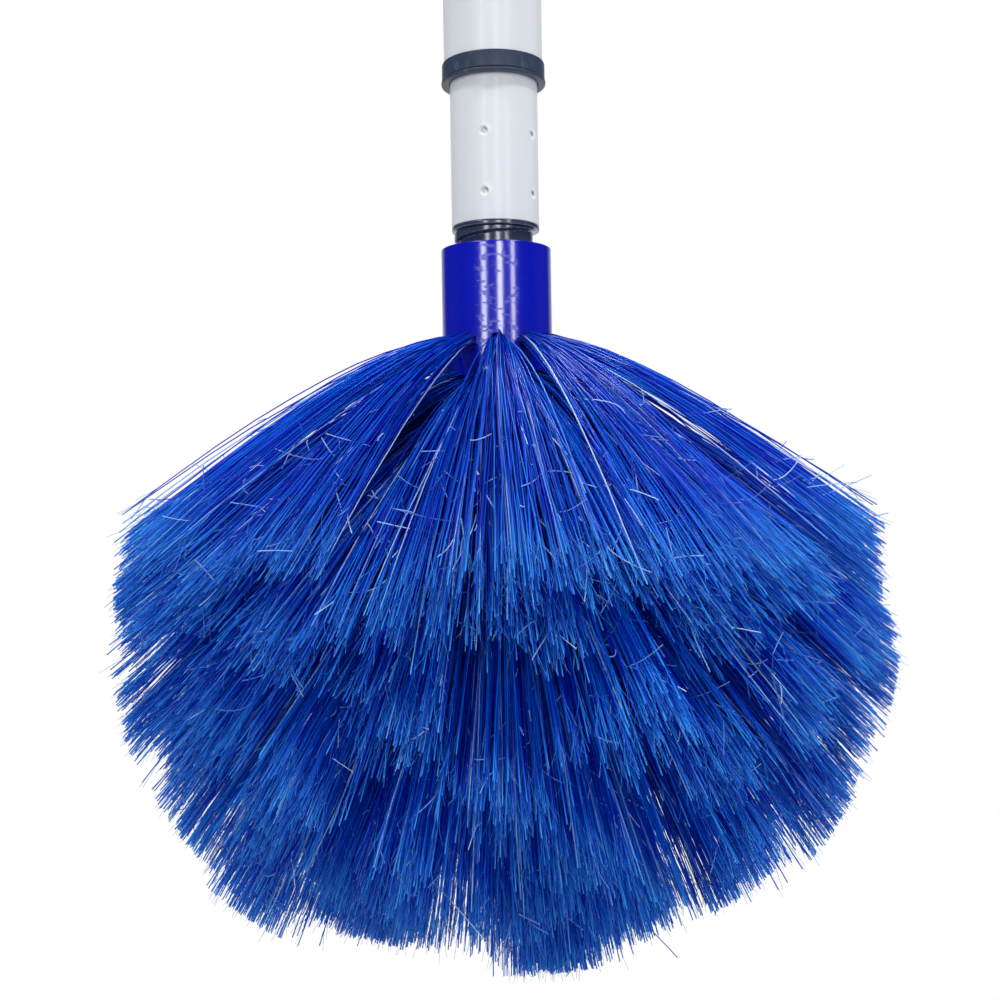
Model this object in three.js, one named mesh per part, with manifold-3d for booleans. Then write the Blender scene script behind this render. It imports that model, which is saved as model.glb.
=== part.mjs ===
// Extendable flick duster: a domed brush screwed on the threaded tip of a two-section telescopic pole.
// Millimetres, +Z up, hanging head down from the eye at its top. The eye's centre is the origin.
// Heights below are measured from the mouth of the brush's socket, and the whole duster is then
// lowered so that the eye comes to zero. Azimuth 0 faces -Y.

import * as THREE from "three";
import { mergeVertices } from "three/addons/utils/BufferGeometryUtils.js";
import Module from "manifold-3d";

const wasm = await Module();
wasm.setup();

const degree = Math.PI / 180;
const roundSides = 32;

// Clearances on each side
const seatGap = 0.05; // pressed in or seated on
const runGap = 0.15; // slides or turns
const threadGap = 0.3; // clear of a thread

// Pole tubes
const outerOd = 25;
const innerOd = 22.2;
const tubeWall = 0.5;
const outerLength = 620;
const innerLength = 560;
const bareLength = 36.1; // inner tube showing below the collar
const outerBore = outerOd / 2 - tubeWall;
const innerBore = innerOd / 2 - tubeWall;

// Crimped dents that hold the tip in the inner tube
const crimpRows = [7, 22.5]; // above the lower end of the inner tube
const crimpsPerRow = 5;
const crimpTurn = -10 * degree;
const crimpBall = 3.2; // radius of the crimping tool's ball
const crimpDepth = 0.7;

// Threaded tip
const threadOd = 21;
const threadLength = 22.1;
const threadLeadIn = 1.5;
const flangeOd = 22.2;
const flangeHeight = 1.1;
const tipStandoff = 5.7; // top of the flange above the socket's mouth
const tipPlugLength = 34;
const tipCoreOd = 16;
const tipNose = 5; // solid end below the hollow core
const crimpGroove = 2.6; // half the width of a groove that takes a row of crimps

// Guide collar on the lower end of the outer tube
const collarOd = 26.5; // of the rim along its lower edge
const collarBandOd = 26.1;
const collarHeight = 5.3;
const collarChamfer = 0.4;
const collarRim = 1; // height of the rim
const collarParting = 0.35; // groove between the rim and the band
const collarLip = 1.2; // what the end of the outer tube stands on
const bushLength = 32;

// Hand grip sleeve
const gripLength = 112;
const gripOd = 29;
const gripSwell = 1;
const gripRound = 1;
const gripGrooves = 7;
const grooveDepth = 1;
const grooveWidth = 5;
const gripInset = 4; // bare tube between the grip and the hanging cap

// Hanging cap
const capPlugLength = 15;
const capPlugLeadIn = 1.2;
const capFlangeOd = 26;
const capFlangeHeight = 3;
const capDomeHeight = 8.5;
const capDomeStep = 0.6; // from the flange's edge in to the dome
const eyeRise = 18.5; // from the end of the tube to the eye's centre
const eyeOd = 10;
const tabThickness = 6.5;
const tabLoopRadius = 10.5;
const tabNeck = 8.5; // half the width where the tab leaves the dome
const tabBevel = 0.8;
const tabShoulder = 215 * degree; // where the loop's arc runs into the tab's sides

// Twist lock at the upper end of the inner tube
const plugLength = 25;
const plugFlange = 2.2;
const spindleOd = 6;
const spindleHeadFlats = 9;
const spindleHeadHeight = 6.5;
const spindleRise = 46; // above the top of the inner tube
const spindleChamfer = 1;
const sleeveOd = 23.5;
const sleeveLength = 30;
const sleeveFloor = 4;
const sleeveChamfer = 0.5;
const sleeveSlot = 2;
const sleeveSlotDepth = 22;
const taperTop = 10; // radius of the tapered seat at its mouth
const taperFoot = 7.4; // radius of the tapered seat at its foot
const taperLength = 18;
const coneLength = 17;
const coneKeyWidth = 1.4;
const coneKeyReach = 11.2;
const nutFlats = 10;
const nutHeight = 4;
const nutInset = 1.5;

// Brush stock
const stockOd = 28.1;
const socketDepth = 19.5;
const socketLength = 20.5; // plain part above the tufted slices
const mouthChamfer = 0.6;
const spineRadius = 8;
const spineLength = 79.2;
const domeCentre = -76; // the stock ends in a half ball about this height
const stockSides = 24; // a flat for every tuft

// Tufts: staggered rows round the stock, then a ring and a middle tuft on its rounded end
const rowCount = 7;
const tuftsPerRow = 12;
const firstRow = -24.5;
const rowPitch = 9.3;
const sliceCuts = [-20.55, -38.45, -57.05, -75.65]; // upper faces of the four tufted slices
const endRingStrands = 12; // six tufts of two
const endRingLatitude = 62 * degree;
const brushCentre = -79; // middle of the ball that the tips lie on
const brushRadius = 99;
const brushDepth = 99; // half height of the ball below its middle
const firstTipLatitude = -2.5 * degree;
const tipLatitudeStep = 10 * degree;
const endRingTipLatitude = 73 * degree;
const middleStrands = 3;
const middleLatitude = 84 * degree;
const middleTipLatitude = 85 * degree;

// Strands of a tuft, which leave the stock flatter than they end
const strandRoot = 0.7; // radius at the stock
const strandTip = 0.45; // radius at the tip
const strandSpread = 1.05; // from the tuft's middle, at the stock
const strandBury = 1.2;
const bentSteps = 3; // straight lengths of a strand in the upper rows
const stiffSteps = 2; // and in the rows below them, which bend less
const droop = 20 * degree;
const kneeShare = 0.3; // of the strand's length, from the stock to its bend
const fullFan = [
  [-1, -1],
  [-1, 1],
  [1, -1],
  [1, 1],
]; // side and down places of the strands in a tuft
const slimFan = [
  [-1, -1],
  [0, 1],
  [1, -1],
];
const slimFanRows = 2; // lowest rows, whose tips crowd together
const wideFan = 1.25; // side turn of the upper strands, in quarters of a tuft's share of the row
const narrowFan = 0.25; // side turn of the lower ones, which fall between those of the next row

const coat = { color: 0xe7ebf1, roughness: 0.32, metalness: 0 };
const greyPlastic = { color: 0x465468, roughness: 0.45, metalness: 0 };
const darkPlastic = { color: 0x333c4c, roughness: 0.4, metalness: 0 };
const naturalPlastic = { color: 0xd9d6cb, roughness: 0.5, metalness: 0 };
const zincSteel = { color: 0xb4b7ba, roughness: 0.35, metalness: 1 };
const bluePlastic = { color: 0x0719b4, roughness: 0.18, metalness: 0 };
const blueBristle = { color: 0x0b43b0, roughness: 0.5, metalness: 0 };

// A closed solid from a geometry whose triangles share no vertices yet
function solid(geometry) {
  geometry.deleteAttribute("normal");
  geometry.deleteAttribute("uv");
  const merged = mergeVertices(geometry);
  const corners = merged.index.array;
  const triVerts = [];
  for (let i = 0; i < corners.length; i += 3) {
    const [a, b, c] = corners.slice(i, i + 3);
    if (a !== b && b !== c && c !== a) triVerts.push(a, b, c);
  }
  return new wasm.Manifold(
    new wasm.Mesh({
      numProp: 3,
      vertProperties: merged.attributes.position.array,
      triVerts: new Uint32Array(triVerts),
    }),
  );
}

// A profile of [radius, height] points, from axis to axis, turned about Z
function revolve(points, sides = roundSides, turn = 0) {
  const profile = points.map(([radius, height]) => new THREE.Vector2(radius, height));
  return solid(new THREE.LatheGeometry(profile, sides, turn).rotateX(Math.PI / 2));
}

// A closed profile turned about Z into a ring
function ring(points, sides = roundSides, turn = 0) {
  return revolve([...points, points[0]], sides, turn);
}

function tube(od, length) {
  const outside = od / 2;
  const inside = outside - tubeWall;
  return ring([
    [outside, 0],
    [outside, length],
    [inside, length],
    [inside, 0],
  ]);
}

function hexPrism(flats, height) {
  const across = flats / Math.cos(30 * degree);
  return revolve(
    [
      [0, 0],
      [across / 2, 0],
      [across / 2, height],
      [0, height],
    ],
    6,
  );
}

// A round cutter that runs past both ends of a piece of this height
function drill(radius, height) {
  return revolve([
    [0, -height],
    [radius, -height],
    [radius, 2 * height],
    [0, 2 * height],
  ]);
}

function ball(radius, at) {
  return solid(new THREE.IcosahedronGeometry(radius, 1).translate(...at));
}

function box(width, depth, height, z) {
  return solid(new THREE.BoxGeometry(width, depth, height).translate(0, 0, z + height / 2));
}

function radial(radius, azimuth, z) {
  return new THREE.Vector3(radius * Math.sin(azimuth), -radius * Math.cos(azimuth), z);
}

// The inner tube, dented inwards where the tip is crimped in it
function innerTube() {
  const ballRadius = innerOd / 2 - crimpDepth + crimpBall;
  let bulges = null;
  let dents = null;
  for (const height of crimpRows) {
    for (let i = 0; i < crimpsPerRow; i++) {
      const at = radial(ballRadius, crimpTurn + (i * 360 * degree) / crimpsPerRow, height);
      const bulge = ball(crimpBall + tubeWall, at);
      const dent = ball(crimpBall, at);
      bulges = bulges ? bulges.add(bulge) : bulge;
      dents = dents ? dents.add(dent) : dent;
    }
  }
  const rod = revolve([
    [0, 0],
    [innerOd / 2, 0],
    [innerOd / 2, innerLength],
    [0, innerLength],
  ]);
  return tube(innerOd, innerLength).add(bulges.intersect(rod)).subtract(dents);
}

// The tip: a hollow plug grooved for the crimps, a flange under the tube and the screw below it
function threadTip() {
  const plugRadius = innerBore - seatGap;
  const grooveRadius = innerOd / 2 - crimpDepth - tubeWall - threadGap;
  const flangeFoot = tipStandoff - flangeHeight;
  const foot = flangeFoot - threadLength;
  const profile = [
    [0, foot],
    [threadOd / 2 - threadLeadIn, foot],
    [threadOd / 2, foot + threadLeadIn],
    [threadOd / 2, flangeFoot],
    [flangeOd / 2, flangeFoot],
    [flangeOd / 2, tipStandoff],
    [plugRadius, tipStandoff],
  ];
  for (const height of crimpRows) {
    const middle = tipStandoff + seatGap + height;
    profile.push(
      [plugRadius, middle - crimpGroove],
      [grooveRadius, middle - crimpGroove],
      [grooveRadius, middle + crimpGroove],
      [plugRadius, middle + crimpGroove],
    );
  }
  const top = tipStandoff + tipPlugLength;
  const coreFoot = foot + tipNose;
  profile.push([plugRadius, top], [tipCoreOd / 2, top], [tipCoreOd / 2, coreFoot], [0, coreFoot]);
  return revolve(profile);
}

// The collar grips the end of the outer tube in a groove, and its long inner bush guides the inner tube
function guideCollar() {
  const bore = innerOd / 2 + runGap;
  const bushRadius = outerBore - seatGap;
  const grooveRadius = outerOd / 2 + seatGap;
  const rim = collarOd / 2;
  const band = collarBandOd / 2;
  return ring([
    [bore, 0],
    [rim - collarChamfer, 0],
    [rim, collarChamfer],
    [rim, collarRim - collarParting / 2],
    [band - collarParting, collarRim],
    [band, collarRim + collarParting],
    [band, collarHeight - collarChamfer],
    [band - collarChamfer, collarHeight],
    [grooveRadius, collarHeight],
    [grooveRadius, collarLip],
    [bushRadius, collarLip],
    [bushRadius, bushLength],
    [bore, bushLength],
  ]);
}

// The grip swells in the middle and has round finger grooves
function handGrip() {
  const bore = outerOd / 2 + seatGap;
  const outside = (height) => gripOd / 2 + gripSwell * Math.sin((Math.PI * height) / gripLength);
  const profile = [
    [bore, 0],
    [gripOd / 2 - gripRound, 0],
    [gripOd / 2, gripRound],
  ];
  for (let i = 1; i <= gripGrooves; i++) {
    const middle = (gripLength * i) / (gripGrooves + 1);
    const low = middle - grooveWidth / 2;
    const high = middle + grooveWidth / 2;
    profile.push([outside(low), low], [outside(middle) - grooveDepth, middle], [outside(high), high]);
  }
  profile.push(
    [gripOd / 2, gripLength - gripRound],
    [gripOd / 2 - gripRound, gripLength],
    [bore, gripLength],
  );
  return ring(profile);
}

// The cap's plug, flange and dome, with a flat loop standing on them round the eye
function hangCap() {
  const plugRadius = outerBore - seatGap;
  const domeRadius = capFlangeOd / 2 - capDomeStep;
  const domePoints = 5;
  const profile = [
    [0, -capPlugLength],
    [plugRadius - capPlugLeadIn, -capPlugLength],
    [plugRadius, capPlugLeadIn - capPlugLength],
    [plugRadius, seatGap],
    [capFlangeOd / 2, seatGap],
    [capFlangeOd / 2, capFlangeHeight],
  ];
  for (let i = 0; i <= domePoints; i++) {
    const turn = (i / domePoints) * 90 * degree;
    profile.push([domeRadius * Math.cos(turn), capFlangeHeight + capDomeHeight * Math.sin(turn)]);
  }
  profile[profile.length - 1][0] = 0; // exactly on the axis

  const outline = new THREE.Shape();
  const tabFoot = capFlangeHeight / 2;
  outline.moveTo(tabNeck, tabFoot);
  outline.lineTo(tabNeck, eyeRise + tabLoopRadius * Math.sin(tabShoulder));
  outline.absarc(0, eyeRise, tabLoopRadius, Math.PI - tabShoulder, tabShoulder, false);
  outline.lineTo(-tabNeck, tabFoot);
  const eye = new THREE.Path();
  eye.absarc(0, eyeRise, eyeOd / 2 + tabBevel, 0, 2 * Math.PI, true);
  outline.holes.push(eye);
  const tab = new THREE.ExtrudeGeometry(outline, {
    depth: tabThickness - 2 * tabBevel,
    bevelThickness: tabBevel,
    bevelSize: tabBevel,
    bevelOffset: -tabBevel,
    bevelSegments: 1,
    curveSegments: 12,
  });
  tab.rotateX(Math.PI / 2);
  tab.translate(0, tabThickness / 2 - tabBevel, 0);
  return revolve(profile).add(solid(tab));
}

// The plug in the end of the inner tube holds the head of the spindle from turning
function lockPlug() {
  const body = ring([
    [spindleOd / 2 + seatGap, -plugLength],
    [innerBore - seatGap, -plugLength],
    [innerBore - seatGap, seatGap],
    [innerOd / 2, seatGap],
    [innerOd / 2, plugFlange],
    [spindleOd / 2 + seatGap, plugFlange],
  ]);
  const pocket = hexPrism(spindleHeadFlats + 2 * seatGap, spindleHeadHeight + seatGap);
  return body.subtract(pocket.translate([0, 0, -plugLength]));
}

function lockSpindle() {
  const shank = revolve([
    [0, -plugLength + spindleHeadHeight / 2],
    [spindleOd / 2, -plugLength + spindleHeadHeight / 2],
    [spindleOd / 2, spindleRise - spindleChamfer],
    [spindleOd / 2 - spindleChamfer, spindleRise],
    [0, spindleRise],
  ]);
  return hexPrism(spindleHeadFlats, spindleHeadHeight).translate([0, 0, -plugLength]).add(shank);
}

// Four fingers with a tapered seat, which the cone spreads against the outer tube
function lockSleeve() {
  const seatFoot = sleeveLength - taperLength;
  const body = ring([
    [spindleOd / 2 + threadGap, 0],
    [sleeveOd / 2 - sleeveChamfer, 0],
    [sleeveOd / 2, sleeveChamfer],
    [sleeveOd / 2, sleeveLength],
    [taperTop, sleeveLength],
    [taperFoot, seatFoot],
    [taperFoot, sleeveFloor],
    [spindleOd / 2 + threadGap, sleeveFloor],
  ]);
  const slotFoot = sleeveLength - sleeveSlotDepth;
  const across = 2 * sleeveOd;
  return body
    .subtract(box(sleeveSlot, across, sleeveLength, slotFoot))
    .subtract(box(across, sleeveSlot, sleeveLength, slotFoot));
}

// The cone follows the spindle's thread, and its keys in the sleeve's slots stop it from turning
function lockCone() {
  const slope = (taperTop - taperFoot) / taperLength;
  const foot = taperFoot - runGap;
  const bore = spindleOd / 2 + threadGap;
  const top = foot + slope * coneLength;
  const body = ring([
    [bore, 0],
    [foot, 0],
    [top, coneLength],
    [bore, coneLength],
  ]);
  const reach = 2 * coneKeyReach;
  const keys = box(coneKeyWidth, reach, coneLength, 0).add(box(reach, coneKeyWidth, coneLength, 0));
  return body.add(keys.subtract(drill((bore + foot) / 2, coneLength)));
}

function lockNut() {
  return hexPrism(nutFlats, nutHeight).subtract(drill(spindleOd / 2 + seatGap, nutHeight));
}

// The stock's socket, with the spine below it that carries the tufted slices
function brushStock() {
  const outside = stockOd / 2;
  const socket = threadOd / 2 + threadGap;
  return revolve(
    [
      [0, -spineLength],
      [spineRadius, -spineLength],
      [spineRadius, -socketLength],
      [outside, -socketLength],
      [outside, -mouthChamfer],
      [outside - mouthChamfer, 0],
      [socket + mouthChamfer, 0],
      [socket, -mouthChamfer],
      [socket, -socketDepth],
      [0, -socketDepth],
    ],
    stockSides,
    Math.PI / stockSides,
  );
}

// A point on the stock at a latitude below the middle of its rounded end, or at a height above it
function stockPoint(azimuth, height, latitude) {
  const apothem = (stockOd / 2) * Math.cos(Math.PI / stockSides);
  if (height >= domeCentre) return radial(apothem, azimuth, height);
  return radial(apothem * Math.cos(latitude), azimuth, domeCentre - apothem * Math.sin(latitude));
}

function tipPoint(azimuth, latitude) {
  return radial(brushRadius * Math.cos(latitude), azimuth, brushCentre - brushDepth * Math.sin(latitude));
}

// The curve of a strand, with its start buried in the stock
function strandCurve(root, tip) {
  const chord = tip.clone().sub(root);
  const away = new THREE.Vector3(chord.x, chord.y, 0);
  const fall = Math.atan2(-chord.z, away.length());
  const leave = fall - droop * Math.cos(fall);
  const heading = away.normalize().multiplyScalar(Math.cos(leave));
  heading.z = -Math.sin(leave);
  const knee = root.clone().addScaledVector(heading, kneeShare * chord.length());
  const start = root.clone().addScaledVector(heading, -strandBury);
  return new THREE.QuadraticBezierCurve3(start, knee, tip);
}

// Three-sided tapering rods along the curves, closed at both ends
function strands(curves, steps) {
  const points = [];
  const faces = [];
  for (const curve of curves) {
    const first = points.length / 3;
    const chord = curve.v2.clone().sub(curve.v0).normalize();
    const across = new THREE.Vector3(-chord.y, chord.x, 0).normalize();
    const above = chord.cross(across);
    for (let step = 0; step <= steps; step++) {
      const share = step / steps;
      const middle = curve.getPoint(share);
      const radius = strandRoot + (strandTip - strandRoot) * share;
      for (let side = 0; side < 3; side++) {
        const turn = side * 120 * degree;
        const corner = middle
          .clone()
          .addScaledVector(across, radius * Math.cos(turn))
          .addScaledVector(above, radius * Math.sin(turn));
        points.push(...corner);
      }
    }
    for (let step = 0; step < steps; step++) {
      for (let side = 0; side < 3; side++) {
        const low = first + 3 * step + side;
        const lowNext = first + 3 * step + ((side + 1) % 3);
        faces.push(low, lowNext, lowNext + 3, low, lowNext + 3, low + 3);
      }
    }
    const last = first + 3 * steps;
    faces.push(first, first + 2, first + 1, last, last + 1, last + 2);
  }
  const geometry = new THREE.BufferGeometry();
  geometry.setAttribute("position", new THREE.Float32BufferAttribute(points, 3));
  geometry.setIndex(faces);
  return solid(geometry);
}

// The strands of a row's tufts fan out from the stock to even steps of azimuth and latitude
function rowCurves(row) {
  const curves = [];
  const height = firstRow - row * rowPitch;
  const latitude = Math.asin(Math.max(0, domeCentre - height) / (stockOd / 2));
  const tipLatitude = firstTipLatitude + row * tipLatitudeStep;
  const spreadTurn = strandSpread / (stockOd / 2);
  const quarterTuft = (90 * degree) / tuftsPerRow;
  const downStep = tipLatitudeStep / 4;
  const fan = row < rowCount - slimFanRows ? fullFan : slimFan;
  for (let i = 0; i < tuftsPerRow; i++) {
    const azimuth = ((i + (row % 2) / 2) * 360 * degree) / tuftsPerRow;
    for (const [side, down] of fan) {
      const root = stockPoint(
        azimuth + side * spreadTurn,
        height - down * strandSpread,
        latitude + down * spreadTurn,
      );
      const fanTurn = side * (down < 0 ? wideFan : narrowFan) * quarterTuft;
      const tip = tipPoint(azimuth + fanTurn, tipLatitude + down * downStep);
      curves.push(strandCurve(root, tip));
    }
  }
  return curves;
}

// The ring of tufts on the rounded end, and the middle tuft that hangs straight down
function endCurves() {
  const curves = [];
  const below = domeCentre - stockOd / 2;
  const addRing = (count, latitude, tipLatitude) => {
    for (let i = 0; i < count; i++) {
      const azimuth = (i * 360 * degree) / count;
      curves.push(strandCurve(stockPoint(azimuth, below, latitude), tipPoint(azimuth, tipLatitude)));
    }
  };
  addRing(endRingStrands, endRingLatitude, endRingTipLatitude);
  addRing(middleStrands, middleLatitude, middleTipLatitude);
  return curves;
}

// A ring of the stock with its rows of tufts
function tuftSlice(index, rows, steps) {
  const top = sliceCuts[index];
  const foot = sliceCuts[index + 1] + seatGap;
  const bore = spineRadius + seatGap;
  const outside = stockOd / 2;
  const slice = ring(
    [
      [bore, foot],
      [outside, foot],
      [outside, top],
      [bore, top],
    ],
    stockSides,
    Math.PI / stockSides,
  );
  return slice.add(strands(rows.flatMap(rowCurves), steps));
}

// The rounded end of the stock, cupped over the end of the spine
function tuftEnd() {
  const top = sliceCuts[sliceCuts.length - 1];
  const bore = spineRadius + seatGap;
  const outside = stockOd / 2;
  const roundPoints = 4;
  const profile = [];
  for (let i = 0; i <= roundPoints; i++) {
    const turn = (1 - i / roundPoints) * 90 * degree;
    profile.push([outside * Math.cos(turn), domeCentre - outside * Math.sin(turn)]);
  }
  profile[0][0] = 0; // exactly on the axis
  profile.push([outside, top], [bore, top], [bore, -spineLength - seatGap], [0, -spineLength - seatGap]);
  const cup = revolve(profile, stockSides, Math.PI / stockSides);
  return cup.add(strands([...rowCurves(rowCount - 1), ...endCurves()], stiffSteps));
}

function piece(name, body, look, height) {
  const { vertProperties, triVerts } = body.getMesh();
  const geometry = new THREE.BufferGeometry();
  geometry.setAttribute("position", new THREE.BufferAttribute(vertProperties, 3));
  geometry.setIndex(new THREE.BufferAttribute(triVerts, 1));
  const mesh = new THREE.Mesh(geometry, new THREE.MeshStandardMaterial(look));
  mesh.name = name;
  mesh.position.z = height;
  return mesh;
}

// Heights of the pieces above the socket's mouth
const innerFoot = tipStandoff + seatGap;
const collarFoot = innerFoot + bareLength;
const outerFoot = collarFoot + collarLip + seatGap;
const outerTop = outerFoot + outerLength;
const innerTop = innerFoot + innerLength;
const sleeveFoot = innerTop + plugFlange + runGap;
const coneFoot = sleeveFoot + sleeveLength - taperLength;
const nutFoot = innerTop + spindleRise - nutInset - nutHeight;

const handle = new THREE.Group();
handle.add(
  piece("outer_tube", tube(outerOd, outerLength), coat, outerFoot),
  piece("guide_collar", guideCollar(), greyPlastic, collarFoot),
  piece("hand_grip", handGrip(), greyPlastic, outerTop - gripInset - gripLength),
  piece("hang_cap", hangCap(), greyPlastic, outerTop),
);

const shaft = new THREE.Group();
shaft.add(
  piece("inner_tube", innerTube(), coat, innerFoot),
  piece("thread_tip", threadTip(), darkPlastic, 0),
  piece("lock_plug", lockPlug(), naturalPlastic, innerTop),
  piece("lock_spindle", lockSpindle(), zincSteel, innerTop),
  piece("lock_stop_nut", lockNut(), zincSteel, nutFoot),
);

const lock = new THREE.Group();
lock.add(
  piece("lock_sleeve", lockSleeve(), naturalPlastic, sleeveFoot),
  piece("lock_cone", lockCone(), naturalPlastic, coneFoot),
);

const head = new THREE.Group();
head.add(
  piece("brush_stock", brushStock(), bluePlastic, 0),
  piece("tufts_upper", tuftSlice(0, [0, 1], bentSteps), blueBristle, 0),
  piece("tufts_middle", tuftSlice(1, [2, 3], stiffSteps), blueBristle, 0),
  piece("tufts_lower", tuftSlice(2, [4, 5], stiffSteps), blueBristle, 0),
  piece("tufts_end", tuftEnd(), blueBristle, 0),
);

const duster = new THREE.Group();
duster.add(handle, shaft, lock, head);
duster.position.z = -(outerTop + eyeRise);

export default duster;
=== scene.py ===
# Extendable flick duster: a domed blue bristle head screwed on a white telescopic pole.
# Metres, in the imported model's own frame: the pole hangs along Z and -Y faces the camera.

import math

import bmesh
import bpy
from mathutils import Matrix, Vector


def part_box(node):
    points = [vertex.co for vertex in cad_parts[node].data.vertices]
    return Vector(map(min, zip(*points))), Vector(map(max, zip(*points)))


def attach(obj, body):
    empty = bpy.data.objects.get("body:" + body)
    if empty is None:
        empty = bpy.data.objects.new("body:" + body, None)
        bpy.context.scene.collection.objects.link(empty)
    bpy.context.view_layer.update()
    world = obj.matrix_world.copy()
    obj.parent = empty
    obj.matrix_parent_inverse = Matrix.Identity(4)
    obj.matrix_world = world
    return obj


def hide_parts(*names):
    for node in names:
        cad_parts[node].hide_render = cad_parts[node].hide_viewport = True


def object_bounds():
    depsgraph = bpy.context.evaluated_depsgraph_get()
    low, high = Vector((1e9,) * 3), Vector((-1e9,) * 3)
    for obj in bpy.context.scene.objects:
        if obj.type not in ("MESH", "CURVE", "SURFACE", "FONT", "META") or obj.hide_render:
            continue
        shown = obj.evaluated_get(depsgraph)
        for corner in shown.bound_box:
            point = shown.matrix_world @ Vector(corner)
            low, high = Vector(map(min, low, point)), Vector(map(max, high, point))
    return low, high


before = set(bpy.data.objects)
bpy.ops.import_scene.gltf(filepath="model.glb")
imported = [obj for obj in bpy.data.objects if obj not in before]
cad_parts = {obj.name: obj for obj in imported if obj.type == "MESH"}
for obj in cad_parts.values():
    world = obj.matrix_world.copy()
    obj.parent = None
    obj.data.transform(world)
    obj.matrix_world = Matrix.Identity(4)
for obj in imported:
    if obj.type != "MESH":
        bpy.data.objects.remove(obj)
cadLow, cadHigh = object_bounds()
scene = bpy.context.scene
mm = 0.001
tiny = 0.001 * mm
fit = 0.05 * mm  # the gap round a piece that is pressed in or on
fullTurn = 2 * math.pi
quarterTurn = [math.radians(90) * i / 24 for i in range(25)]
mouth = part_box("brush_stock")[1].z  # the mouth of the brush's socket


# Node trees, written as expressions


def operator(name, swapped=False):
    def act(self, other):
        pair = (other, self) if swapped else (self, other)
        return self.bench.maths(name, *pair)

    return act


class Wire:  # a node's output, to which Python's operators add nodes
    def __init__(self, bench, socket):
        self.bench = bench
        self.socket = socket

    __add__, __radd__ = operator("ADD"), operator("ADD", True)
    __sub__, __rsub__ = operator("SUBTRACT"), operator("SUBTRACT", True)
    __mul__, __rmul__ = operator("MULTIPLY"), operator("MULTIPLY", True)
    __truediv__, __rtruediv__ = operator("DIVIDE"), operator("DIVIDE", True)
    __pow__, __rpow__ = operator("POWER"), operator("POWER", True)

    def do(self, operation, *others):
        return self.bench.maths(operation, self, *others)

    def other(self, name):  # another output of the same node
        return Wire(self.bench, self.socket.node.outputs[name])

    def part(self, name):
        return self.bench.add("ShaderNodeSeparateXYZ", {}, {0: self}, name)

    def length(self):
        return self.bench.add("ShaderNodeVectorMath", {"operation": "LENGTH"}, {0: self}, "Value")


def isVector(value):
    return isinstance(value, tuple) or isinstance(value, Wire) and value.socket.type == "VECTOR"


class Bench:  # one node tree, and the way in which nodes come into it
    def __init__(self, tree):
        self.tree = tree

    def add(self, kind, settings=None, inputs=None, out=0):
        node = self.tree.nodes.new(kind)
        for name, value in (settings or {}).items():
            setattr(node, name, value)
        for key, value in (inputs or {}).items():
            for one in value if isinstance(value, list) else [value]:
                if isinstance(one, Wire):
                    self.tree.links.new(one.socket, node.inputs[key])
                else:
                    node.inputs[key].default_value = one
        return Wire(self, node.outputs[out]) if node.outputs else None

    def maths(self, operation, *values):
        vectors = [isVector(value) for value in values]
        if not any(vectors):
            return self.add("ShaderNodeMath", {"operation": operation}, dict(enumerate(values)))
        if operation == "MULTIPLY" and not all(vectors):
            vector, factor = values if vectors[0] else values[::-1]
            return self.add("ShaderNodeVectorMath", {"operation": "SCALE"}, {0: vector, "Scale": factor})
        return self.add("ShaderNodeVectorMath", {"operation": operation}, dict(enumerate(values)))

    def xyz(self, x=0.0, y=0.0, z=0.0):
        return self.add("ShaderNodeCombineXYZ", {}, {0: x, 1: y, 2: z})

    def blend(self, factor, first, second):  # of two colours
        return self.add("ShaderNodeMix", {"data_type": "RGBA"}, {0: factor, 6: first, 7: second}, 2)

    def asks(self, defaults):  # the tree's named inputs, with the modifier's one output
        for name, value in defaults.items():
            kind = {int: "Int", float: "Float"}.get(type(value), "Material")
            socket = self.tree.interface.new_socket(name, in_out="INPUT", socket_type="NodeSocket" + kind)
            if value is not None:
                socket.default_value = value
        self.tree.interface.new_socket("Geometry", in_out="OUTPUT", socket_type="NodeSocketGeometry")
        given = self.tree.nodes.new("NodeGroupInput")
        return {name: Wire(self, given.outputs[name]) for name in defaults}


# Finishes


class Finish(Bench):  # one material, a Principled shader and what feeds it
    def __init__(self, name, **constants):
        self.material = bpy.data.materials.new(name)
        self.material.use_nodes = True
        super().__init__(self.material.node_tree)
        self.shader = self.tree.nodes["Principled BSDF"]
        for key, value in constants.items():
            self.shader.inputs[key.replace("_", " ")].default_value = value
        self.place = self.add("ShaderNodeTexCoord", {}, {}, "Object")

    def noise(self, scale, stretch=(1, 1, 1), detail=3.0, roughness=0.5):
        where = self.place * stretch
        values = {"Vector": where, "Scale": scale, "Detail": detail, "Roughness": roughness}
        return self.add("ShaderNodeTexNoise", {}, values, "Fac")

    def band(self, value, low, high):  # 0 below low, 1 above high
        return self.add("ShaderNodeMapRange", {"interpolation_type": "SMOOTHSTEP"},
                        {"Value": value, "From Min": low, "From Max": high})

    def attribute(self, name):
        return self.add("ShaderNodeAttribute", {"attribute_name": name}, {}, "Fac")

    def feed(self, **wires):
        for key, wire in wires.items():
            self.tree.links.new(wire.socket, self.shader.inputs[key.replace("_", " ")])

    def bump(self, height, strength, distance):
        values = {"Height": height, "Strength": strength, "Distance": distance}
        self.feed(Normal=self.add("ShaderNodeBump", {}, values, "Normal"))


def linear(red, green, blue):  # a colour as it is seen, 0 to 255, in the renderer's numbers
    def one(value):
        share = value / 255
        return share / 12.92 if share <= 0.04045 else ((share + 0.055) / 1.055) ** 2.4

    return (one(red), one(green), one(blue), 1)


# the last two colours are painted shade in each dent's pit and a painted highlight on its rim
coatLook = {"pale": linear(232, 235, 241), "shade": linear(224, 228, 234), "scuff": linear(178, 180, 182),
            "grime": linear(84, 88, 98), "gleam": (1, 1, 1, 1)}


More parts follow.
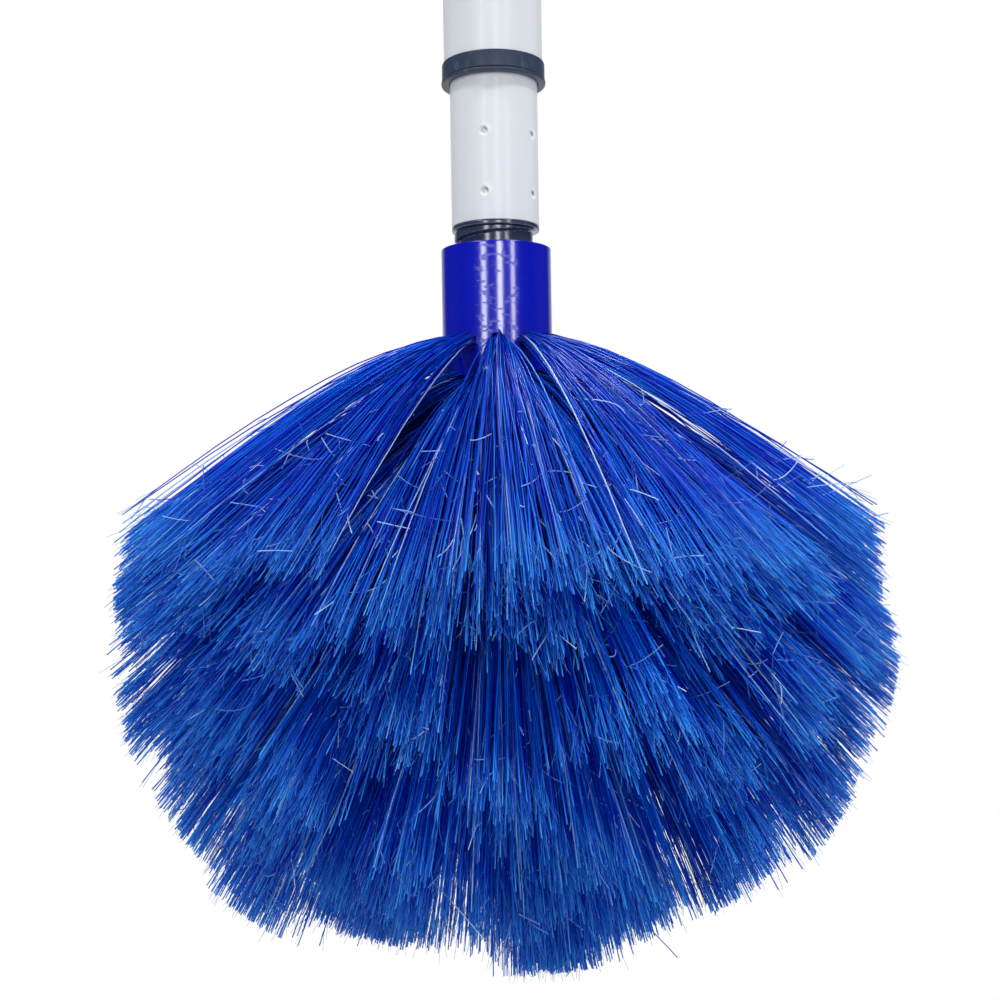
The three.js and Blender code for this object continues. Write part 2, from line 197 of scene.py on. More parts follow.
def coatedTube():
    look = Finish("coatedTube", Specular_IOR_Level=0.4, Coat_Weight=0.12, Coat_Roughness=0.08)
    cloud = look.noise(60, (1, 1, 0.25))
    scuffs = look.band(look.noise(220, (1, 1, 0.06), 4.0), 0.66, 0.74)
    pale = look.blend(cloud, coatLook["pale"], coatLook["shade"])
    peel = look.noise(900, detail=2.0)
    worn = look.blend(scuffs * 0.3, pale, coatLook["scuff"])
    # a painted highlight on the upper right rim of each dent
    worn = look.blend(look.attribute("gleam"), worn, coatLook["gleam"])
    # painted shade on the upper right wall of each dent's pit
    look.feed(Base_Color=look.blend(look.attribute("grime"), worn, coatLook["grime"]))
    look.feed(Roughness=0.34 + cloud * 0.16 + scuffs * 0.15)
    look.bump(peel + scuffs * 0.4, 0.12, 0.06 * mm)
    return look.material


def mouldedPlastic(name, dark, worn, gloss, shine=0.5):
    look = Finish(name, Specular_IOR_Level=shine)
    cloud = look.noise(140, (1, 1, 0.5))
    rubs = look.band(look.noise(420, (1, 1, 0.3), 5.0, 0.65), 0.56, 0.72)
    grain = look.noise(2600, detail=2.0)
    look.feed(Base_Color=look.blend(rubs * 0.5 + cloud * 0.3, dark, worn))
    look.feed(Roughness=gloss - 0.06 + rubs * 0.16 + cloud * 0.06)
    look.bump(grain * 0.5 + rubs * 0.5, 0.25, 0.05 * mm)
    return look.material


rubberLook = {"dark": linear(47, 55, 68), "dusty": linear(72, 81, 95)}


def gripRubber():
    look = Finish("gripRubber", Specular_IOR_Level=0.35)
    cloud = look.noise(90)
    grain = look.noise(1500, detail=2.0)
    dust = look.band(look.noise(300, detail=5.0), 0.58, 0.75)
    look.feed(Base_Color=look.blend(cloud * 0.4 + dust * 0.3, rubberLook["dark"], rubberLook["dusty"]))
    look.feed(Roughness=0.68 + cloud * 0.16)
    look.bump(grain, 0.4, 0.12 * mm)
    return look.material


zincLook = {"bright": linear(186, 189, 192), "bloom": linear(158, 161, 160)}


def zincSteel():
    look = Finish("zincSteel", Metallic=1.0)
    bloom = look.noise(260, detail=4.0)
    lines = look.noise(1200, (1, 1, 4), 2.0)
    look.feed(Base_Color=look.blend(bloom, zincLook["bright"], zincLook["bloom"]))
    look.feed(Roughness=0.26 + bloom * 0.18)
    look.bump(lines, 0.15, 0.04 * mm)
    return look.material


stockLook = {"deep": linear(0, 7, 186), "light": linear(1, 24, 194), "rub": linear(8, 48, 200)}


def blueStock():
    look = Finish("blueStock", IOR=1.6, Specular_IOR_Level=0.9, Coat_Weight=0.24, Coat_Roughness=0.28)
    cloud = look.noise(120, (1, 1, 0.4))
    turning = look.noise(500, (0.05, 0.05, 1.6), 2.0)
    knocked = look.band(look.place.part("Y") * -1.0, 12.2 * mm, 13.6 * mm)
    nicks = look.band(look.noise(700, (0.4, 0.4, 1.5), 2.0, 0.6), 0.57, 0.61) * knocked
    rubs = look.band(look.noise(700, (0.4, 0.4, 1), 4.0, 0.6), 0.64, 0.76)
    blue = look.blend(cloud, stockLook["deep"], stockLook["light"])
    look.feed(Base_Color=look.blend(rubs * 0.3, blue, stockLook["rub"]))
    look.feed(Roughness=0.13 + cloud * 0.06 + rubs * 0.12 + nicks * 0.2)
    look.bump(turning * 0.3 + cloud * 0.8 - nicks * 0.5, 0.2, 0.2 * mm)
    return look.material


# the root colour is painted shade near the stock, the worn colour a painted sheen, and the tip colour
# partly painted light through the tips
bristleLook = {
    "root": (0.0002, 0.008, 0.24, 1),
    "middle": (0.0001, 0.018, 0.54, 1),
    "pale": (0.001, 0.15, 0.86, 1),
    "tip": (0.05, 0.4, 0.95, 1),
    "worn": (0.42, 0.6, 1, 1),
    "split": (0.6, 0.78, 1, 1),
}


def blueBristle():
    look = Finish("blueBristle", Specular_IOR_Level=0.16)
    tone = look.attribute("tone")
    share = look.attribute("share")  # of the way from root to tip, and over 1 on split fibres
    body = look.blend(look.band(tone, 0.15, 0.85), bristleLook["middle"], bristleLook["pale"])
    # a few whole filaments painted pale: a painted sheen
    body = look.blend(look.band(tone, 0.93, 0.985), body, bristleLook["worn"])
    # painted shade: darker towards the roots, where the filaments shade each other
    body = look.blend(look.band(share, 0.02, 0.3), bristleLook["root"], body)
    # paler tips: split ends, and painted light shining through the tips
    ended = look.band(share, 0.8, 1.0) * (0.25 + tone * tone * 0.75)
    body = look.blend(ended, body, bristleLook["tip"])
    torn = look.band(share, 1.0, 1.1) * (0.15 + tone * tone * 0.85)
    look.feed(Base_Color=look.blend(torn, body, bristleLook["split"]))
    look.feed(Roughness=0.28 + look.band(share, 0.5, 0.95) * 0.25)
    return look.material


finishes = {
    "coated_tube": coatedTube(),
    "grey_plastic": mouldedPlastic("greyPlastic", linear(45, 57, 77), linear(82, 99, 124), 0.4, 0.3),
    "dark_plastic": mouldedPlastic("darkPlastic", linear(42, 52, 76), linear(78, 94, 124), 0.22, 1.0),
    "natural_plastic": mouldedPlastic("naturalPlastic", linear(222, 219, 207), linear(236, 234, 226), 0.46),
    "grip_rubber": gripRubber(),
    "zinc_steel": zincSteel(),
    "blue_stock": blueStock(),
    "blue_bristle": blueBristle(),
}
print("finishes:", len(finishes))


# Making pieces, and putting them in place of the model's parts


def newObject(name, mesh):
    made = bpy.data.objects.new(name, mesh)
    scene.collection.objects.link(made)
    return made


def meshed(name, mesh):  # a new object with the faces of a bmesh, which is used up
    made = newObject(name, bpy.data.meshes.new(name))
    mesh.to_mesh(made.data)
    mesh.free()
    return made


def eased(corners, count=4):  # an outline's corners, each (radius, height) or with a rounding as a third
    points = []
    for i, (radius, height, *rounding) in enumerate(corners):
        corner = Vector((radius, height))
        if not rounding:
            points.append(corner)
            continue
        before = (Vector(corners[i - 1][:2]) - corner).normalized() * rounding[0]
        after = (Vector(corners[(i + 1) % len(corners)][:2]) - corner).normalized() * rounding[0]
        for step in range(count + 1):
            t = step / count
            points.append(corner + before * (1 - t) ** 2 + after * t ** 2)
    return points


def turned(name, points, sides=96, shape=None):
    # an outline of (radius, height) points turned about Z; it closes on itself or on the axis
    mesh = bmesh.new()
    rings = []
    for radius, height in points:
        if radius < tiny:
            rings.append([mesh.verts.new((0, 0, height))])
            continue
        ring = []
        for side in range(sides):
            angle = side * fullTurn / sides
            reach = shape(angle, radius, height) if shape else radius
            ring.append(mesh.verts.new((reach * math.sin(angle), -reach * math.cos(angle), height)))
        rings.append(ring)
    if len(rings[0]) > 1:
        rings.append(rings[0])
    for low, high in zip(rings, rings[1:]):
        for side in range(sides):
            after = (side + 1) % sides
            places = [(low, side), (low, after), (high, after), (high, side)]
            corners = [ring[i % len(ring)] for ring, i in places]
            mesh.faces.new(list(dict.fromkeys(corners)))
    bmesh.ops.recalc_face_normals(mesh, faces=mesh.faces)
    return meshed(name, mesh)


def rod(name, radius, low, high, sides):
    return turned(name, [(0, low), (radius, low), (radius, high), (0, high)], sides)


def plain(made):  # the object with its modifiers applied
    depsgraph = bpy.context.evaluated_depsgraph_get()
    mesh = bpy.data.meshes.new_from_object(made.evaluated_get(depsgraph), preserve_all_data_layers=True,
                                           depsgraph=depsgraph)
    made.modifiers.clear()
    made.data = mesh
    return made


def joinedWith(made, tool, operation):  # a boolean join or cut, which uses the tool up
    modifier = made.modifiers.new("boolean", "BOOLEAN")
    modifier.operation = operation
    modifier.object = tool
    modifier.solver = "EXACT"
    plain(made)
    bpy.data.objects.remove(tool)
    return made


def handIn(made, body, slot, *nodes, sharp=35):  # sharp 0 leaves what a tree has shaded and finished
    if sharp:
        made.data.shade_smooth()
        made.data.set_sharp_from_angle(angle=math.radians(sharp))
        made.data.materials.clear()
        made.data.materials.append(finishes[slot])
    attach(made, body)
    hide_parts(*nodes)
    print("piece:", made.name, len(made.data.polygons), "faces")


def grown(name, bench, values):  # what a tree makes, as a plain mesh
    made = newObject(name, bpy.data.meshes.new(name))
    modifier = made.modifiers.new("tree", "NODES")
    modifier.node_group = bench.tree
    for item in bench.tree.interface.items_tree:
        if item.name in values:
            modifier[item.identifier] = values[item.name]
    return plain(made)


def steps(low, high, pitch):
    count = max(1, math.ceil((high - low) / pitch))
    return [low + (high - low) * i / count for i in range(count + 1)]


def smooth(value):  # an S-shaped rise from 0 to 1
    value = min(1, max(0, value))
    return value * value * (3 - 2 * value)


# The pole's tubes

tube = {"wall": 0.5 * mm, "edge": 0.2 * mm, "sides": 160}
crimp = {
    "rows": (7 * mm, 21.9 * mm),
    "perRow": 5,
    "turn": math.radians(-13.5),
    "pit": 0.8 * mm,
    "depth": 0.85 * mm,
    "rim": 1.45 * mm,
    "rimWidth": 0.6 * mm,
    "rimHeight": 0.06 * mm,
    "lean": 0.7,  # how much higher the rim is at its upper right
    # painted shade in each dent's pit, then a painted highlight on its rim
    "grime": (0.55 * mm, 0.35 * mm),  # a ring's radius and width
    "gleam": (1.35 * mm, 0.4 * mm),
    "zone": 3.6 * mm,
    "pitch": 0.15 * mm,
    "sides": 360,
}


def tubeOutline(node, rows=()):
    low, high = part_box(node)
    outside, inside = high.x, high.x - tube["wall"]
    edge = tube["edge"]
    return eased([
        (inside, high.z, edge), (inside, low.z, edge), (outside, low.z, edge),
        *[(outside, height) for height in rows], (outside, high.z, edge),
    ])


def fromCrimp(angle, radius, rise):  # how far a place is across and up from the nearest dent's middle
    pitch = fullTurn / crimp["perRow"]
    turn = (angle - crimp["turn"] + pitch / 2) % pitch - pitch / 2
    row = min(crimp["rows"], key=lambda height: abs(rise - height))
    return turn * radius, rise - row


def upperRight(across, up):  # 1 straight to the upper right of a dent's middle, -1 to the lower left
    return (across + up) / (math.hypot(across, up) * math.sqrt(2) + 1e-9)


def softRing(away, radius, width):  # 1 at a radius, and 0 well away from it
    return math.exp(-((away - radius) / width) ** 2)


def crimped(foot):  # each dent is a pit with a raised rim, higher at the upper right
    def shape(angle, radius, height):
        across, up = fromCrimp(angle, radius, height - foot)
        away = math.hypot(across, up)
        pit = crimp["depth"] * math.exp(-(away / crimp["pit"]) ** 3)
        rim = crimp["rimHeight"] * (1 + crimp["lean"] * upperRight(across, up))
        return radius - pit + rim * softRing(away, crimp["rim"], crimp["rimWidth"])

    return shape


def paintDentLightAndShade(made, foot):  # painted shade on the upper right wall of each pit, and a painted highlight on the rim beyond it
    for name in ("grime", "gleam"):
        layer = made.data.attributes.new(name, "FLOAT", "POINT")
        for vertex, stain in zip(made.data.vertices, layer.data):
            place = vertex.co
            angle, radius = math.atan2(place.x, -place.y), math.hypot(place.x, place.y)
            across, up = fromCrimp(angle, radius, place.z - foot)
            facing = max(0, upperRight(across, up)) ** 1.5
            stain.value = facing * softRing(math.hypot(across, up), *crimp[name])


def makeTubes():
    outer = turned("outerTube", tubeOutline("outer_tube"), tube["sides"])
    handIn(outer, "handle", "coated_tube", "outer_tube")
    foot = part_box("inner_tube")[0].z
    rises = steps(-crimp["zone"], crimp["zone"], crimp["pitch"])
    rows = [foot + row + rise for row in crimp["rows"] for rise in rises]
    inner = turned("innerTube", tubeOutline("inner_tube", rows), crimp["sides"], crimped(foot))
    # painted shade and painted highlights at the dents
    paintDentLightAndShade(inner, foot)
    handIn(inner, "shaft", "coated_tube", "inner_tube")


makeTubes()


# The collar at the lower end of the outer tube

collar = {
    "height": 5.3 * mm,
    "seat": 1.2 * mm,
    "band": 13.05 * mm,
    "rim": 1 * mm,
    "groove": 0.35 * mm,
    "clearance": 0.15 * mm,  # round the inner tube
    "edge": 0.4 * mm,
    "rimEdge": 0.3 * mm,
    "fineEdge": 0.2 * mm,
    "lipEdge": 0.1 * mm,
    "sides": 128,
}


def makeCollar():
    low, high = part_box("guide_collar")
    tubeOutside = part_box("outer_tube")[1].x
    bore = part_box("inner_tube")[1].x + collar["clearance"]
    bush = tubeOutside - tube["wall"] - fit
    outside, band = high.x, collar["band"]
    edge, fine = collar["edge"], collar["fineEdge"]
    foot = low.z
    top = foot + collar["height"]
    seat = foot + collar["seat"]
    rim = foot + collar["rim"]
    cut = collar["groove"]
    outline = eased([
        (bore, foot, fine), (outside, foot, edge), (outside, rim - cut / 4, collar["rimEdge"]),
        (band - cut, rim), (band, rim + cut * 0.7, fine), (band, top, edge),
        (tubeOutside + fit, top, collar["lipEdge"]), (tubeOutside + fit, seat),
        (bush, seat), (bush, high.z, fine), (bore, high.z, fine),
    ])
    handIn(turned("guideCollar", outline, collar["sides"]), "handle", "grey_plastic", "guide_collar")


makeCollar()


# The threaded tip between the tube and the head

tip = {
    "crest": 10.5 * mm,
    "pitch": 5 * mm,
    "depth": 1.1 * mm,
    "start": 0.42,
    "runIn": 1.2 * mm,
    "chamfer": 1.5 * mm,
    "relief": 0.3 * mm,
    "runOut": 0.2 * mm,
    "flangeHeight": 1.1 * mm,
    "standoff": 5.7 * mm,
    "core": 8 * mm,
    "nose": 5 * mm,
    "edge": 0.3 * mm,
    "step": 0.15 * mm,
    "sides": 128,
}


def ridge(phase):  # the section of a thread, over one pitch
    phase %= 1
    return smooth(phase / 0.12) - smooth((phase - 0.44) / 0.12)


def threaded(crest, low, high, sign=1):
    # sign 1 cuts the root out of the crest of a screw; -1 lets the thread stand in a socket
    def shape(angle, radius, height):
        if abs(radius - crest) > tiny or not low < height < high:
            return radius
        ends = smooth((height - low) / tip["runIn"])
        turns = (height - mouth) / tip["pitch"] - angle / fullTurn + tip["start"]
        cut = 1 - ridge(turns) * ends
        return radius - tip["depth"] * (cut if sign > 0 else -cut + 1 - ends)

    return shape


def makeTip():
    low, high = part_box("thread_tip")
    crest, core, edge = tip["crest"], tip["core"], tip["edge"]
    flange = high.x
    flangeTop = mouth + tip["standoff"]
    flangeFoot = flangeTop - tip["flangeHeight"]
    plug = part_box("inner_tube")[1].x - tube["wall"] - fit
    lead = low.z + tip["chamfer"]
    coreFloor = low.z + tip["nose"]
    rows = steps(lead + 2 * fit, flangeFoot - tip["relief"], tip["step"])
    outline = eased([
        (0, low.z), (crest - tip["chamfer"], low.z, edge), (crest, lead),
        *[(crest, height) for height in rows], (crest - tip["relief"], flangeFoot),
        (flange, flangeFoot, edge), (flange, flangeTop, edge), (plug, flangeTop), (plug, high.z, edge),
        (core, high.z, edge), (core, coreFloor, edge), (0, coreFloor),
    ])
    thread = threaded(crest, lead + fit, flangeFoot - tip["runOut"])
    handIn(turned("threadTip", outline, tip["sides"], thread), "shaft", "dark_plastic", "thread_tip")


makeTip()


# The hand grip and the hanging cap at the top of the pole

grip = {
    "outside": 14.5 * mm,
    "swell": 1 * mm,
    "grooves": 7,
    "depth": 1 * mm,
    "width": 5 * mm,
    "ribs": 48,
    "ribDepth": 0.22 * mm,
    "ribEnd": 6 * mm,
    "edge": 1.2 * mm,
    "boreEdge": 0.3 * mm,
    "step": 0.5 * mm,
    "sides": 192,
}


def makeGrip():
    low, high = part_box("hand_grip")
    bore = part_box("outer_tube")[1].x + fit
    length = high.z - low.z

    def outside(height):
        up = height - low.z
        wide = grip["outside"] + grip["swell"] * math.sin(math.pi * up / length)
        for i in range(1, grip["grooves"] + 1):
            off = (up - length * i / (grip["grooves"] + 1)) / (grip["width"] / 2)
            wide -= grip["depth"] * (math.cos(math.pi * off) + 1) / 2 if abs(off) < 1 else 0
        return wide

    def ribbed(angle, radius, height):
        if radius < grip["outside"] - 2 * fit:
            return radius
        ends = smooth((height - low.z) / grip["ribEnd"]) * smooth((high.z - height) / grip["ribEnd"])
        return radius - grip["ribDepth"] * ends * (0.5 + 0.5 * math.cos(grip["ribs"] * angle)) ** 4

    edge, boreEdge = grip["edge"], grip["boreEdge"]
    rows = steps(low.z + edge, high.z - edge, grip["step"])
    outline = eased([
        (bore, high.z, boreEdge), (bore, low.z, boreEdge), (outside(low.z), low.z, edge),
        *[(outside(height), height) for height in rows], (outside(high.z), high.z, edge),
    ])
    made = turned("handGrip", outline, grip["sides"], ribbed)
    handIn(made, "handle", "grip_rubber", "hand_grip", sharp=50)


cap = {
    "plug": 15 * mm,
    "leadIn": 1.2 * mm,
    "flange": 13 * mm,
    "flangeHeight": 3 * mm,
    "dome": 8.5 * mm,
    "domeInset": 0.6 * mm,
    "edge": 0.4 * mm,
    "sides": 128,
    "eye": 5 * mm,
    "loop": 10.5 * mm,
    "loopStart": math.radians(215),
    "loopSweep": math.radians(250),
    "loopSteps": 64,
    "loopFoot": 1.5 * mm,
    "neck": 8.5 * mm,
    "thickness": 6.5 * mm,
    "voxel": 0.32 * mm,
    "smoothing": 5,
}


def loopPlate(foot):  # the flat loop round the eye, as a closed slab with a hole
    loop, neck, half = cap["loop"], cap["neck"], cap["thickness"] / 2
    count = cap["loopSteps"]
    angles = [cap["loopStart"] - cap["loopSweep"] * i / count for i in range(count + 1)]
    arc = [(loop * math.cos(angle), loop * math.sin(angle)) for angle in angles]
    shoulder = arc[0][1]
    outside = [(-neck, foot), (-neck, shoulder), *arc, (neck, shoulder), (neck, foot)]
    mesh = bmesh.new()
    face = mesh.faces.new([mesh.verts.new((x, -half, z)) for x, z in outside])
    back = bmesh.ops.extrude_face_region(mesh, geom=[face])["geom"]
    moved = [part for part in back if isinstance(part, bmesh.types.BMVert)]
    bmesh.ops.translate(mesh, verts=moved, vec=(0, 2 * half, 0))
    bmesh.ops.recalc_face_normals(mesh, faces=mesh.faces)
    made = meshed("loopPlate", mesh)
    bore = rod("eyeBore", cap["eye"], -loop, loop, count)
    bore.data.transform(Matrix.Rotation(math.radians(90), 4, "X"))
    return joinedWith(made, bore, "DIFFERENCE")


def makeCap():
    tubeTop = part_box("outer_tube")[1].z
    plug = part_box("outer_tube")[1].x - tube["wall"] - fit
    flange, edge = cap["flange"], cap["edge"]
    foot = tubeTop - cap["plug"]
    seat = tubeTop + fit
    base = tubeTop + cap["flangeHeight"]
    wide = flange - cap["domeInset"]
    dome = [(wide * math.cos(t), base + cap["dome"] * math.sin(t)) for t in quarterTurn[:-1]]
    outline = eased([
        (0, foot), (plug - cap["leadIn"], foot), (plug, foot + cap["leadIn"]), (plug, seat),
        (flange, seat, edge), (flange, base, edge), *dome, (0, base + cap["dome"]),
    ])
    body = turned("hangCap", outline, cap["sides"])
    body = joinedWith(body, loopPlate(tubeTop + cap["loopFoot"]), "UNION")
    remesh = body.modifiers.new("remesh", "REMESH")
    remesh.mode = "VOXEL"
    remesh.voxel_size = cap["voxel"]
    soften = body.modifiers.new("soften", "SMOOTH")
    soften.iterations = cap["smoothing"]
    handIn(plain(body), "handle", "grey_plastic", "hang_cap", sharp=80)


makeGrip()
makeCap()


# The twist lock, inside the upper tube

lock = {
    "edge": 0.3 * mm,
    "pin": 3 * mm,
    "pinSides": 48,
    "play": 0.3 * mm,  # round the spindle in the sleeve and the cone
    "shoulder": 2.15 * mm,
    "grooves": 5,
    "grooveFoot": 4 * mm,
    "groovePitch": 3.6 * mm,
    "grooveWidth": 1.8 * mm,
    "grooveDepth": 0.7 * mm,
    "grooveSlope": 0.3 * mm,
    "headFlats": 9 * mm,
    "headHeight": 6.5 * mm,
    "shankFoot": 3 * mm,
    "nose": 1 * mm,
    "thread": 1.5 * mm,
    "threadDepth": 0.35 * mm,
    "threadStep": 0.19 * mm,
    "nutFlats": 10 * mm,
    "overcut": 1 * mm,  # by which a cutter stands out of what it cuts
    "taper": 18 * mm,
    "taperTop": 10 * mm,
    "taperFoot": 7.4 * mm,
    "sleeveFloor": 4 * mm,
    "sleeveEdge": 0.6 * mm,
    "slotWidth": 2 * mm,
    "slotDepth": 22 * mm,
    "slotClear": 5 * mm,
    "slotHalf": 20 * mm,
    "coneFoot": 7.25 * mm,
    "keyWidth": 1.4 * mm,
    "keyHalf": 2.85 * mm,
    "keyPlace": 8.35 * mm,
}


def hexBar(name, flats, low, high):
    across = flats / 2 / math.cos(math.radians(30))
    rounded = flats / 2 + 0.45 * (across - flats / 2)
    bar = rod(name, across, low, high, 6)
    turn = across - rounded
    barrel = turned("barrel", [(0, low), (rounded, low), (across, low + turn), (across, high - turn),
                               (rounded, high), (0, high)], lock["pinSides"])
    return joinedWith(bar, barrel, "INTERSECT")


def slab(name, width, low, high, half, turn, away=0):  # an upright plate through the axis or beside it
    mesh = bmesh.new()
    bmesh.ops.create_cube(mesh, size=1)
    size = Matrix.Diagonal((2 * half, width, high - low, 1))
    place = Matrix.Translation((away, 0, (low + high) / 2))
    mesh.transform(Matrix.Rotation(math.radians(turn), 4, "Z") @ place @ size)
    return meshed(name, mesh)


def makePlug():
    low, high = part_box("lock_plug")
    bore, edge, slope = lock["pin"] + fit, lock["edge"], lock["grooveSlope"]
    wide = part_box("inner_tube")[1].x - tube["wall"] - fit
    narrow = wide - lock["grooveDepth"]
    shoulder = high.z - lock["shoulder"]
    grooves = []
    for i in range(lock["grooves"]):
        foot = low.z + lock["grooveFoot"] + i * lock["groovePitch"]
        top = foot + lock["grooveWidth"]
        grooves += [(wide, foot), (narrow, foot + slope), (narrow, top - slope), (wide, top)]
    plug = turned("lockPlug", eased([
        (bore, low.z), (wide, low.z, edge), *grooves, (wide, shoulder),
        (high.x, shoulder, edge), (high.x, high.z, edge), (bore, high.z, edge),
    ]))
    floorOfPocket = low.z + lock["headHeight"] + fit
    pocket = hexBar("pocket", lock["headFlats"] + 2 * fit, low.z - lock["overcut"], floorOfPocket)
    handIn(joinedWith(plug, pocket, "DIFFERENCE"), "shaft", "natural_plastic", "lock_plug")


def makeSpindle():
    low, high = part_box("lock_spindle")
    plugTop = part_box("lock_plug")[1].z
    pin, nose = lock["pin"], lock["nose"]
    foot = low.z + lock["shankFoot"]

    def screwed(angle, radius, height):
        if radius < pin - tiny or height < plugTop:
            return radius
        turns = height / lock["thread"] - angle / fullTurn
        return radius - lock["threadDepth"] * (0.5 - 0.5 * math.cos(fullTurn * turns))

    rows = [(pin, height) for height in steps(plugTop, high.z - nose, lock["threadStep"])]
    outline = [(0, foot), (pin, foot), *rows, (pin - nose, high.z), (0, high.z)]
    shank = turned("lockSpindle", outline, lock["pinSides"], screwed)
    head = hexBar("spindleHead", lock["headFlats"], low.z, low.z + lock["headHeight"])
    handIn(joinedWith(shank, head, "UNION"), "shaft", "zinc_steel", "lock_spindle")


def makeStopNut():
    low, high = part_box("lock_stop_nut")
    nut = hexBar("lockStopNut", lock["nutFlats"], low.z, high.z)
    clear = lock["overcut"]
    bore = rod("nutBore", lock["pin"] + fit, low.z - clear, high.z + clear, lock["pinSides"])
    handIn(joinedWith(nut, bore, "DIFFERENCE"), "shaft", "zinc_steel", "lock_stop_nut")


def makeSleeve():
    low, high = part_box("lock_sleeve")
    bore, edge = lock["pin"] + lock["play"], lock["edge"]
    floorTop = low.z + lock["sleeveFloor"]
    sleeve = turned("lockSleeve", eased([
        (bore, low.z, edge), (high.x, low.z, lock["sleeveEdge"]), (high.x, high.z, edge),
        (lock["taperTop"], high.z, edge), (lock["taperFoot"], high.z - lock["taper"]),
        (lock["taperFoot"], floorTop, edge), (bore, floorTop, edge),
    ]))
    slotFoot, slotTop = high.z - lock["slotDepth"], high.z + lock["slotClear"]
    for turn in (0, 90):
        slot = slab("slot", lock["slotWidth"], slotFoot, slotTop, lock["slotHalf"], turn)
        sleeve = joinedWith(sleeve, slot, "DIFFERENCE")
    handIn(sleeve, "lock", "natural_plastic", "lock_sleeve")


def makeCone():
    low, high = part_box("lock_cone")
    bore, edge, foot = lock["pin"] + lock["play"], lock["edge"], lock["coneFoot"]
    slope = (lock["taperTop"] - lock["taperFoot"]) / lock["taper"]
    top = foot + slope * (high.z - low.z)
    cone = turned("lockCone", eased([
        (bore, low.z, edge), (foot, low.z, edge), (top, high.z, edge), (bore, high.z, edge),
    ]))
    for turn in (0, 90):
        for side in (-1, 1):
            away = side * lock["keyPlace"]
            key = slab("key", lock["keyWidth"], low.z, high.z, lock["keyHalf"], turn, away)
            cone = joinedWith(cone, key, "UNION")
    handIn(cone, "cone", "natural_plastic", "lock_cone")


makePlug()
makeSpindle()
makeStopNut()
makeSleeve()
makeCone()


# The brush's stock, with a hole for every tuft

stock = {
    "socket": 10.8 * mm,
    "socketDepth": 19.5 * mm,
    "threadGap": 0.5 * mm,  # plain wall at either end of the socket's thread
    "threadStep": 0.25 * mm,
    "dome": -76 * mm,
    "ringPitch": 4 * mm,
    "edge": 0.3 * mm,
    "sides": 144,
    "hole": 1.8 * mm,
    "holeDepth": 5.2 * mm,
    "flare": 0.15 * mm,
    "flareDepth": 0.5 * mm,
    "drillOut": 2 * mm,
    "drillSides": 24,
}
tuftPlan = {"rows": 7, "perRow": 12, "first": -24.5 * mm, "pitch": 9.3 * mm, "endTufts": 6,
            "endLatitude": 62}
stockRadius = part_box("brush_stock")[1].x


def rootPlace(height, azimuth):  # where a hole's middle is on the stock, and which way it faces
    sine = max(0, (stock["dome"] - height) / stockRadius)
    cosine = math.sqrt(max(0, 1 - sine * sine))
    out = Vector((math.sin(azimuth) * cosine, -math.cos(azimuth) * cosine, -sine))
    middle = Vector((0, 0, max(height, stock["dome"])))
    return middle + out * stockRadius, out


def tuftRows():  # (height, number of tufts, turn of the first) from the socket down
    found = []
    for i in range(tuftPlan["rows"]):
        found.append((tuftPlan["first"] - i * tuftPlan["pitch"], tuftPlan["perRow"], 0.5 * (i % 2)))
    ringHeight = stock["dome"] - stockRadius * math.sin(math.radians(tuftPlan["endLatitude"]))
    return found + [(ringHeight, tuftPlan["endTufts"], 0.25), (stock["dome"] - stockRadius, 1, 0)]


def drills():  # one cutter for all the holes, each flared at the surface
    mesh = bmesh.new()
    hole, depth, out = stock["hole"], stock["holeDepth"], stock["drillOut"]
    wide = hole + stock["flare"]
    outline = [(0, -depth), (hole, -depth), (hole, -stock["flareDepth"]), (wide, stock["flare"]),
               (wide, out), (0, out)]
    single = turned("drill", outline, stock["drillSides"])
    for height, count, turn in tuftRows():
        for i in range(count):
            place, way = rootPlace(height, (i + turn) * fullTurn / count)
            copy = single.data.copy()
            copy.transform(Matrix.Translation(place) @ way.to_track_quat("Z", "Y").to_matrix().to_4x4())
            mesh.from_mesh(copy)
            bpy.data.meshes.remove(copy)
    bpy.data.objects.remove(single)
    return meshed("drills", mesh)


def makeStock():
    bore, edge, depth, gap = stock["socket"], stock["edge"], stock["socketDepth"], stock["threadGap"]
    ball = [(stockRadius * math.sin(t), stock["dome"] - stockRadius * math.cos(t)) for t in quarterTurn[1:]]
    rounds = steps(stock["dome"] + stock["ringPitch"], -1 * mm, stock["ringPitch"])
    threads = steps(gap + 2 * fit, depth - gap, stock["threadStep"])
    outline = eased([
        (0, stock["dome"] - stockRadius), *ball, *[(stockRadius, height) for height in rounds],
        (stockRadius, 0, edge), (bore, 0, edge), *[(bore, -height) for height in threads],
        (bore, -depth), (0, -depth),
    ])
    for point in outline:
        point.y += mouth
    thread = threaded(bore, mouth - depth + gap - 2 * fit, mouth - gap, -1)
    body = turned("brushStock", outline, stock["sides"], thread)
    cutter = drills()
    cutter.data.transform(Matrix.Translation((0, 0, mouth)))
    handIn(joinedWith(body, cutter, "DIFFERENCE"), "head", "blue_stock", "brush_stock", sharp=40)


makeStock()


# Filaments, which trees of nodes grow: each is one spline, laid by a function and given a thickness


